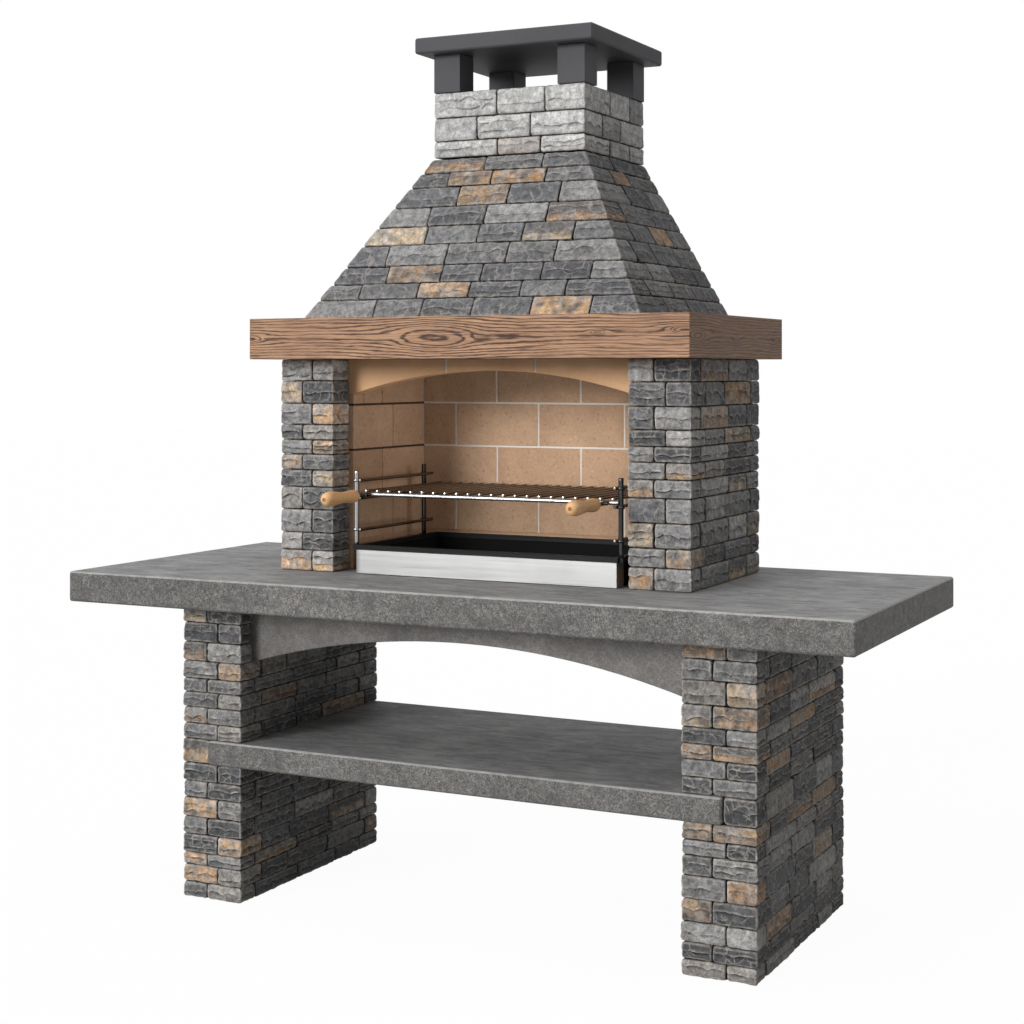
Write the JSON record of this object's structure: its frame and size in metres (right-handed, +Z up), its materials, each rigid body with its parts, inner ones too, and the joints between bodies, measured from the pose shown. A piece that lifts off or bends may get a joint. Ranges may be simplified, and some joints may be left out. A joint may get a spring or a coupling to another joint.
{
  "type": "masonry barbecue",
  "caption": "Stone-clad masonry barbecue with a wide concrete worktop, firebrick hearth, timber mantel, pyramid hood with chimney, and a pull-out ember tray and grill",
  "frame": {"origin": "bottom centre of the overall box, on the ground between the two legs", "axes": "+Z up, the hearth mouth faces -Y, +X to the right seen from the front"},
  "size_m": [2, 0.862, 2.142],
  "materials": {
    "slate": "split face, grey with tan stones",
    "pale_stone": "split face, light grey",
    "blockwork": "plain concrete block",
    "concrete": "honed grey concrete with fine pale veins",
    "cast_concrete": "plain cast concrete",
    "firebrick": "matt tan firebrick",
    "mortar": "light grey joint mortar",
    "timber": "brown, brushed grain",
    "anthracite": "painted concrete, matt anthracite",
    "black_steel": "black, semi matt",
    "stainless": "brushed",
    "bright_steel": "plated rod",
    "beech": "turned, oiled"
  },
  "bodies": {
    "masonry": {"left_leg_stones": "slate", "right_leg_stones": "slate", "left_pillar_stones": "slate", "right_pillar_stones": "slate", "back_wall_stones": "slate", "hood_stones_front": "slate", "hood_stones_back": "slate", "hood_stones_left": "slate", "hood_stones_right": "slate", "hood_hip_stones": "slate", "chimney_stones": "pale_stone", "left_leg_core": "blockwork", "right_leg_core": "blockwork", "left_pillar_core": "blockwork", "right_pillar_core": "blockwork", "back_wall_core": "blockwork", "worktop": "concrete", "lower_shelf": "concrete", "apron": "concrete", "lintel_front": "cast_concrete", "lintel_left": "cast_concrete", "lintel_right": "cast_concrete", "lintel_back": "cast_concrete", "hood_shell_front": "cast_concrete", "hood_shell_back": "cast_concrete", "hood_shell_left": "cast_concrete", "hood_shell_right": "cast_concrete", "flue_walls": "cast_concrete", "back_firebricks": "firebrick", "left_firebricks": "firebrick", "right_firebricks": "firebrick", "arch_left": "firebrick", "arch_centre": "firebrick", "arch_right": "firebrick", "back_mortar": "mortar", "left_mortar": "mortar", "right_mortar": "mortar", "arch_mortar": "mortar", "mantel_front": "timber", "mantel_left": "timber", "mantel_right": "timber", "cap_posts": "anthracite", "cap_slab": "anthracite"},
    "ember_box": {"ember_tray": "black_steel", "tray_runners": "black_steel", "tray_rim": "black_steel", "tray_fascia": "stainless", "rack_posts": "bright_steel", "rack_rails": "bright_steel", "rack_clips": "bright_steel"},
    "grill": {"grill_bars": "bright_steel", "grill_rods": "bright_steel", "handle_shanks": "black_steel", "left_grip": "beech", "right_grip": "beech"}
  },
  "joints": [
    {"name": "tray_slide", "type": "slide", "parent": "masonry", "child": "ember_box", "axis": [0, -1, 0], "range_m": [0, 0.25]},
    {"name": "grill_slide", "type": "slide", "parent": "ember_box", "child": "grill", "axis": [0, -1, 0], "range_m": [0, 0.25]}
  ]
}
